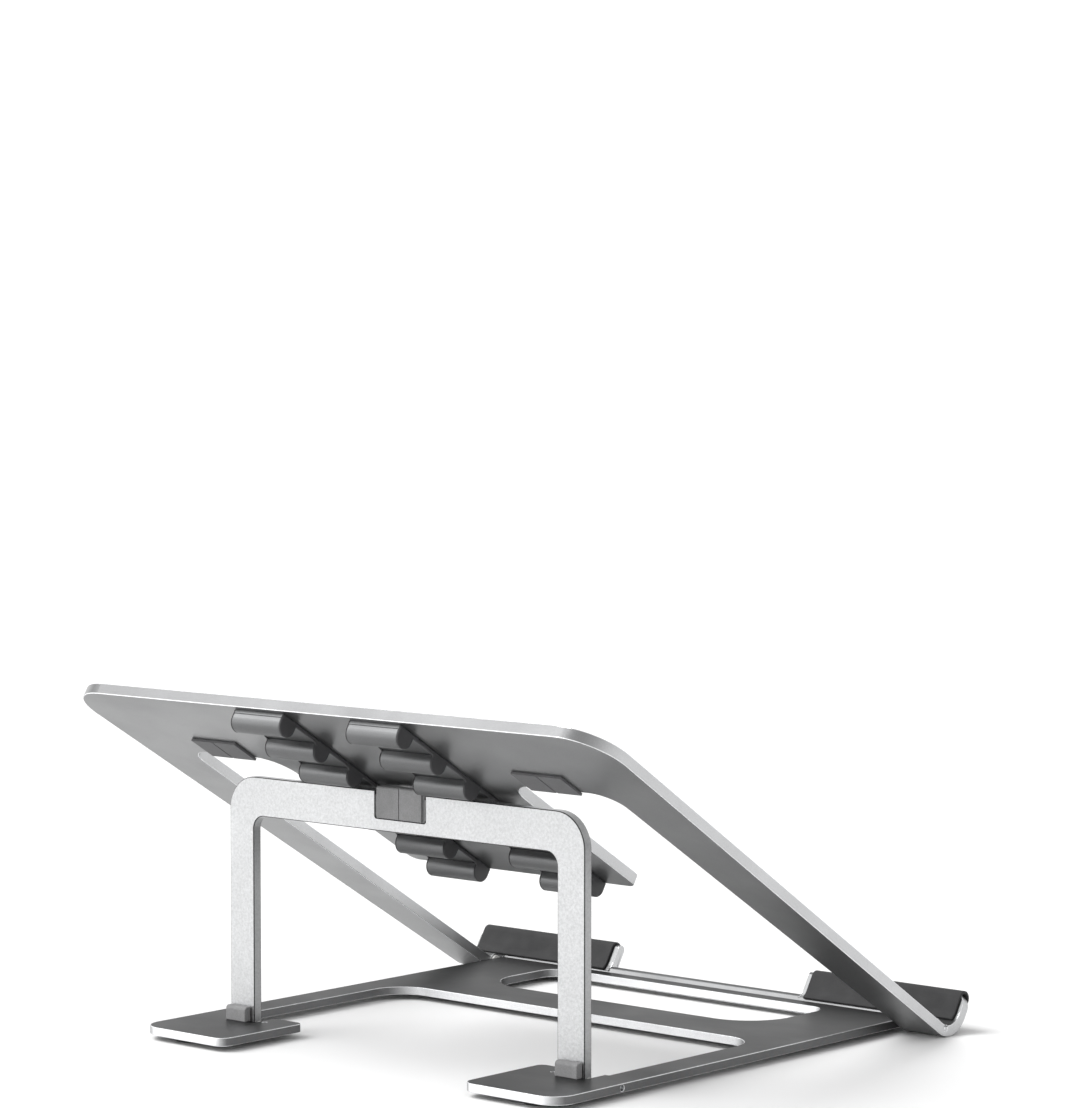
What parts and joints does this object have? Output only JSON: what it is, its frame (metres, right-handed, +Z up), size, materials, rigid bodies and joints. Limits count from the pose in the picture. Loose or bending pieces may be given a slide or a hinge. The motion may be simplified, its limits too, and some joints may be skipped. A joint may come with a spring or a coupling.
{
  "type": "laptop stand",
  "caption": "Folding metal laptop stand: base frame, hinged U-shaped support bracket and a tilted open tray with a notched rack and rubber grips.",
  "frame": {"origin": "on the desk, under the middle of the stand's bounding box", "axes": "+Z up, X side to side across the stand's plane of symmetry, -Y towards the user, +Y towards the raised rear edge of the tray"},
  "size_m": [0.2596, 0.2288, 0.133],
  "materials": {
    "base_metal": "satin anodised sheet with bright chamfered edges",
    "tray_metal": "satin anodised sheet with bright chamfered edges",
    "bracket_metal": "bead-blasted silver with a coarse sparkle",
    "rod_metal": "satin grey anodised",
    "pin_steel": "turned steel",
    "rack_dark": "dark moulded nylon",
    "washer_nylon": "natural nylon",
    "grey_rubber": "matt grey silicone rubber",
    "grip_rubber": "matt dark grey silicone rubber",
    "lip_rubber": "matt black silicone rubber",
    "foot_rubber": "matt black rubber"
  },
  "bodies": {
    "base": {"base_plate": "base_metal", "foot_rear_left": "foot_rubber", "foot_rear_right": "foot_rubber", "foot_front_left": "foot_rubber", "foot_front_right": "foot_rubber", "stop_bumper_left": "grey_rubber", "stop_bumper_right": "grey_rubber", "bracket_pin_left": "pin_steel", "bracket_pin_right": "pin_steel", "leg_washers_left": "washer_nylon", "leg_washers_right": "washer_nylon", "pin_lock_screws": "pin_steel"},
    "bracket": {"support_bracket": "bracket_metal", "bracket_pad": "grey_rubber"},
    "tray": {"tray_plate": "tray_metal", "tray_pin_left": "pin_steel", "tray_pin_right": "pin_steel", "tray_pin_plug_left": "tray_metal", "tray_pin_plug_right": "tray_metal", "tray_washer_left": "washer_nylon", "tray_washer_right": "washer_nylon", "rack_strip_left": "rod_metal", "rack_strip_right": "rod_metal", "rack_cheeks_left": "rack_dark", "rack_cheeks_right": "rack_dark", "rack_rods_left": "rod_metal", "rack_rods_right": "rod_metal", "rack_rivets_left": "pin_steel", "rack_rivets_right": "pin_steel", "rear_grip_left": "grip_rubber", "rear_grip_right": "grip_rubber", "rail_grip_left": "grip_rubber", "rail_grip_right": "grip_rubber", "front_grip_left": "lip_rubber", "front_grip_right": "lip_rubber"}
  },
  "joints": [
    {"name": "tray_lift", "type": "hinge", "parent": "base", "child": "tray", "pos_m": [0, -0.09711, 0.0036], "axis": [1, 0, 0], "range_deg": [0, 56]},
    {"name": "bracket_fold", "type": "hinge", "parent": "base", "child": "bracket", "pos_m": [0, 0.06789, 0.0036], "axis": [1, 0, 0], "range_deg": [0, 84]}
  ],
  "couplings": [
    {"joint": "bracket_fold", "follows": "tray_lift", "ratio": 1.5}
  ]
}
